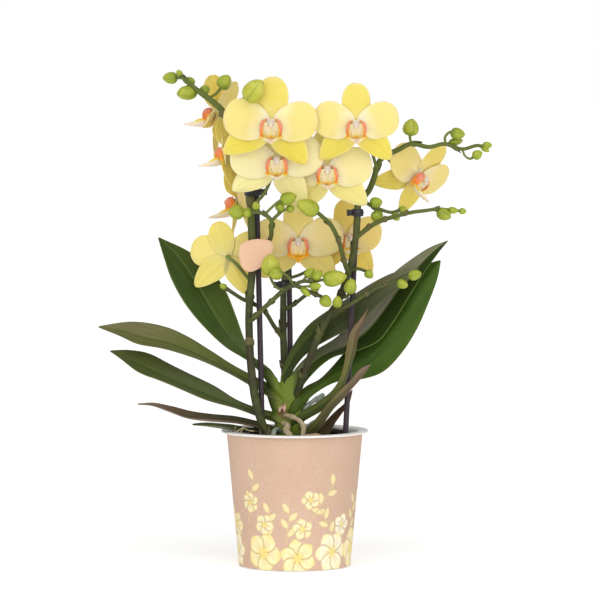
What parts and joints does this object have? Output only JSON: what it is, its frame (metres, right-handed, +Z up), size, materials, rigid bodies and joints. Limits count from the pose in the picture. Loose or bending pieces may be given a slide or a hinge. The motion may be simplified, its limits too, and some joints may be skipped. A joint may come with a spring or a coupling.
{
  "type": "potted orchid",
  "caption": "Potted moth orchid with yellow blooms and buds on staked, clipped flower spikes, strap leaves and air roots, in a white-rimmed cup with a plain card sleeve.",
  "frame": {"origin": "centre of the cup's base, on the surface it stands on", "axes": "+Z up along the cup's axis; the front towards -Y; +X to the right"},
  "size_m": [0.2779, 0.1272, 0.3497],
  "materials": {
    "white_plastic": "satin",
    "kraft_card": "matte",
    "bark": "matte",
    "crown_green": "satin",
    "leaf_green": "satin",
    "aged_leaf": "matte",
    "stem_green": "satin",
    "root_tan": "matte",
    "root_silver": "matte",
    "dyed_stick": "satin",
    "black_plastic": "satin",
    "tag_card": "matte",
    "tepal_yellow": "satin",
    "lip_coral": "satin"
  },
  "bodies": {
    "root": {"bark_bed": "bark", "blank_tag": "tag_card", "bloom_behind_right": "tepal_yellow", "bloom_behind_right_lip": "lip_coral", "bloom_below_top_left": "tepal_yellow", "bloom_below_top_left_lip": "lip_coral", "bloom_below_top_right": "tepal_yellow", "bloom_below_top_right_lip": "lip_coral", "bloom_centre_low": "tepal_yellow", "bloom_centre_low_lip": "lip_coral", "bloom_far_right": "tepal_yellow", "bloom_far_right_lip": "lip_coral", "bloom_left_profile_low": "tepal_yellow", "bloom_left_profile_low_lip": "lip_coral", "bloom_left_profile_middle": "tepal_yellow", "bloom_left_profile_middle_lip": "lip_coral", "bloom_left_profile_top": "tepal_yellow", "bloom_left_profile_top_lip": "lip_coral", "bloom_seen_from_back": "tepal_yellow", "bloom_seen_from_back_lip": "lip_coral", "bloom_top_left": "tepal_yellow", "bloom_top_left_lip": "lip_coral", "bloom_top_right": "tepal_yellow", "bloom_top_right_lip": "lip_coral", "card_sleeve": "kraft_card", "clip_left": "black_plastic", "clip_middle": "black_plastic", "clip_right": "black_plastic", "crown": "crown_green", "cup": "white_plastic", "leaf_left_low": "leaf_green", "leaf_left_middle": "leaf_green", "leaf_left_narrow": "aged_leaf", "leaf_left_upper": "leaf_green", "leaf_left_upright": "leaf_green", "leaf_right_broad": "leaf_green", "leaf_right_inner": "leaf_green", "leaf_right_low": "leaf_green", "leaf_right_narrow": "leaf_green", "leaf_right_tall": "leaf_green", "leaf_right_withered": "aged_leaf", "root_arched": "root_tan", "root_green_tip": "root_silver", "root_silver_long": "root_silver", "root_thick": "root_tan", "spike_left": "stem_green", "spike_middle": "stem_green", "spike_right": "stem_green", "stick_left": "dyed_stick", "stick_middle": "dyed_stick", "stick_right": "dyed_stick"}
  },
  "joints": []
}
